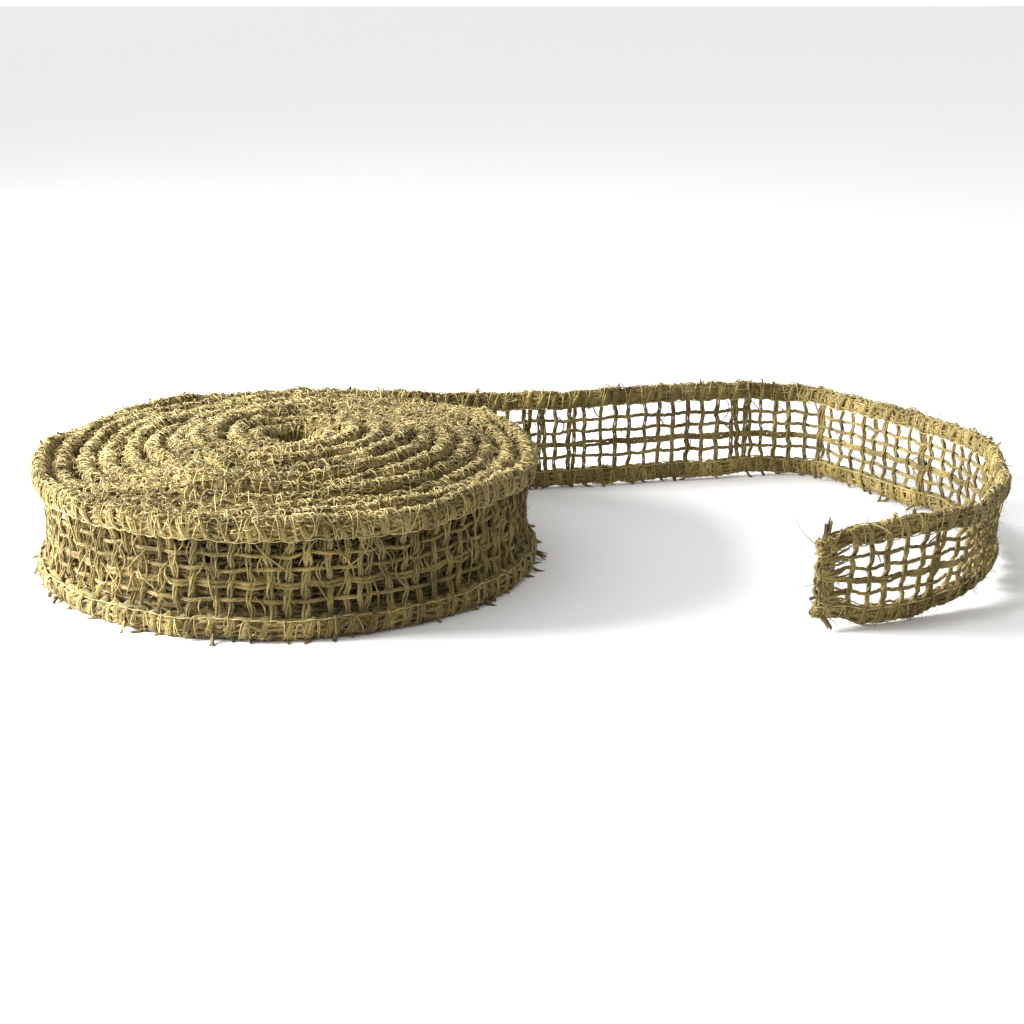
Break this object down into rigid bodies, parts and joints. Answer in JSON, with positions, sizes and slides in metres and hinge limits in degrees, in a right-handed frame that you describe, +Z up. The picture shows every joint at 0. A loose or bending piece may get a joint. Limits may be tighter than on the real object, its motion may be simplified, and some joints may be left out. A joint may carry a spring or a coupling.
{
  "type": "jute ribbon roll",
  "caption": "Coreless roll of open jute mesh ribbon with overlocked edges, wound on edge, with its loose end curling away from the back of the roll.",
  "frame": {"origin": "on the roll's axis, in the plane that the roll stands on", "axes": "+Z up along the roll's axis; +X the way the loose end leaves the back of the roll; +Y towards the back, the side where it leaves"},
  "size_m": [0.3395, 0.1996, 0.0484],
  "materials": {
    "jute_mesh": "open mesh of twisted natural jute yarn, dry and matt",
    "jute_edge": "folded jute mesh, fuzzy, bound with sewing thread",
    "overlock_thread": "thin pale sewing thread with a slight sheen"
  },
  "bodies": {
    "roll": {"roll_mesh": "jute_mesh", "roll_upper_edge": "jute_edge", "roll_lower_edge": "jute_edge", "roll_upper_stitching": "overlock_thread", "roll_lower_stitching": "overlock_thread"},
    "exit_section": {"exit_warps": "jute_mesh", "exit_wefts": "jute_mesh", "exit_upper_edge": "jute_edge", "exit_lower_edge": "jute_edge", "exit_upper_stitching": "overlock_thread", "exit_lower_stitching": "overlock_thread"},
    "far_section": {"far_warps": "jute_mesh", "far_wefts": "jute_mesh", "far_upper_edge": "jute_edge", "far_lower_edge": "jute_edge", "far_upper_stitching": "overlock_thread", "far_lower_stitching": "overlock_thread"},
    "shoulder_section": {"shoulder_warps": "jute_mesh", "shoulder_wefts": "jute_mesh", "shoulder_upper_edge": "jute_edge", "shoulder_lower_edge": "jute_edge", "shoulder_upper_stitching": "overlock_thread", "shoulder_lower_stitching": "overlock_thread"},
    "bend_section": {"bend_warps": "jute_mesh", "bend_wefts": "jute_mesh", "bend_upper_edge": "jute_edge", "bend_lower_edge": "jute_edge", "bend_upper_stitching": "overlock_thread", "bend_lower_stitching": "overlock_thread"},
    "end_section": {"end_warps": "jute_mesh", "end_wefts": "jute_mesh", "end_upper_edge": "jute_edge", "end_lower_edge": "jute_edge", "end_upper_stitching": "overlock_thread", "end_lower_stitching": "overlock_thread", "end_fold": "jute_edge"}
  },
  "joints": [
    {"name": "roll_exit", "type": "hinge", "parent": "roll", "child": "exit_section", "pos_m": [0.001, 0.08755, 0], "axis": [0, 0, 1], "range_deg": [-5, 30]},
    {"name": "far_flex", "type": "hinge", "parent": "exit_section", "child": "far_section", "pos_m": [0.087, 0.08755, 0], "axis": [0, 0, 1], "range_deg": [-6, 12]},
    {"name": "shoulder_flex", "type": "hinge", "parent": "far_section", "child": "shoulder_section", "pos_m": [0.18677, 0.10786, 0], "axis": [0, 0, 1], "range_deg": [-12, 25]},
    {"name": "bend_flex", "type": "hinge", "parent": "shoulder_section", "child": "bend_section", "pos_m": [0.23189, 0.06043, 0], "axis": [0, 0, 1], "range_deg": [-12, 25]},
    {"name": "end_flex", "type": "hinge", "parent": "bend_section", "child": "end_section", "pos_m": [0.23043, -0.04916, 0], "axis": [0, 0, 1], "range_deg": [-16, 30]}
  ]
}
